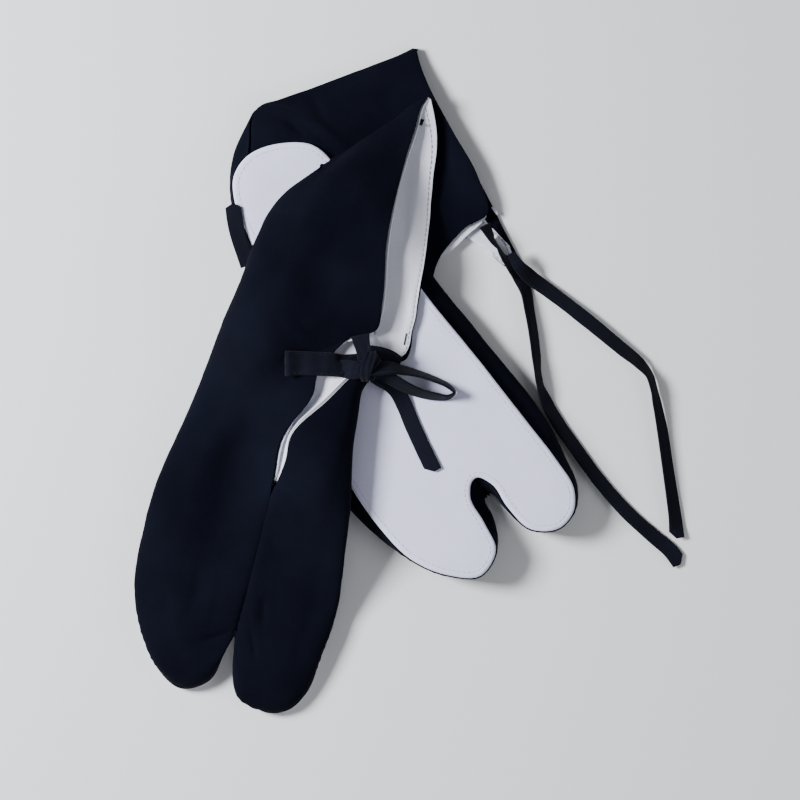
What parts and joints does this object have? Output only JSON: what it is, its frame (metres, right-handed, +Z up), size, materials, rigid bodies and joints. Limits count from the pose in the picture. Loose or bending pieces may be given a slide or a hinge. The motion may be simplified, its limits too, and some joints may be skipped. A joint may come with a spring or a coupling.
{
  "type": "tabi socks",
  "caption": "Pair of split-toe cotton tie socks laid flat, one over the other: dark twill uppers, white soles and facings, tape ties knotted in a bow on the upper sock.",
  "frame": {"origin": "middle of the pair's footprint, measured without its free ties, on the surface that it lies on", "axes": "+Z up from that surface; +Y towards the heels and shaft tops; +X towards the free ties of the lower sock"},
  "size_m": [0.2991, 0.3588, 0.044],
  "materials": {
    "left_sole": "matt quilted cotton, white",
    "left_outer_upper": "matt cotton twill, navy-black",
    "left_inner_upper": "matt cotton twill, navy-black",
    "left_outer_facing": "matt cotton, white",
    "left_inner_facing": "matt cotton, white",
    "left_inner_tie": "matt cotton twill tape, navy-black",
    "left_outer_tie": "matt cotton twill tape, navy-black",
    "right_sole": "matt quilted cotton, white",
    "right_outer_upper": "matt cotton twill, navy-black",
    "right_inner_upper": "matt cotton twill, navy-black",
    "right_outer_facing": "matt cotton, white",
    "right_inner_facing": "matt cotton, white",
    "right_band": "matt cotton twill tape, navy-black",
    "right_knot": "matt cotton twill tape, navy-black",
    "right_shaft_tie": "matt cotton twill tape, navy-black",
    "right_mouth_tie": "matt cotton twill tape, navy-black",
    "right_bow_loop": "matt cotton twill tape, navy-black",
    "right_bow_end": "matt cotton twill tape, navy-black",
    "right_heel_tie": "matt cotton twill tape, navy-black"
  },
  "bodies": {
    "root": {"left_sole": "left_sole", "left_outer_upper": "left_outer_upper", "left_inner_upper": "left_inner_upper", "left_outer_facing": "left_outer_facing", "left_inner_facing": "left_inner_facing", "left_inner_tie": "left_inner_tie", "left_outer_tie": "left_outer_tie", "right_sole": "right_sole", "right_outer_upper": "right_outer_upper", "right_inner_upper": "right_inner_upper", "right_outer_facing": "right_outer_facing", "right_inner_facing": "right_inner_facing", "right_band": "right_band", "right_knot": "right_knot", "right_shaft_tie": "right_shaft_tie", "right_mouth_tie": "right_mouth_tie", "right_bow_loop": "right_bow_loop", "right_bow_end": "right_bow_end", "right_heel_tie": "right_heel_tie"}
  },
  "joints": []
}
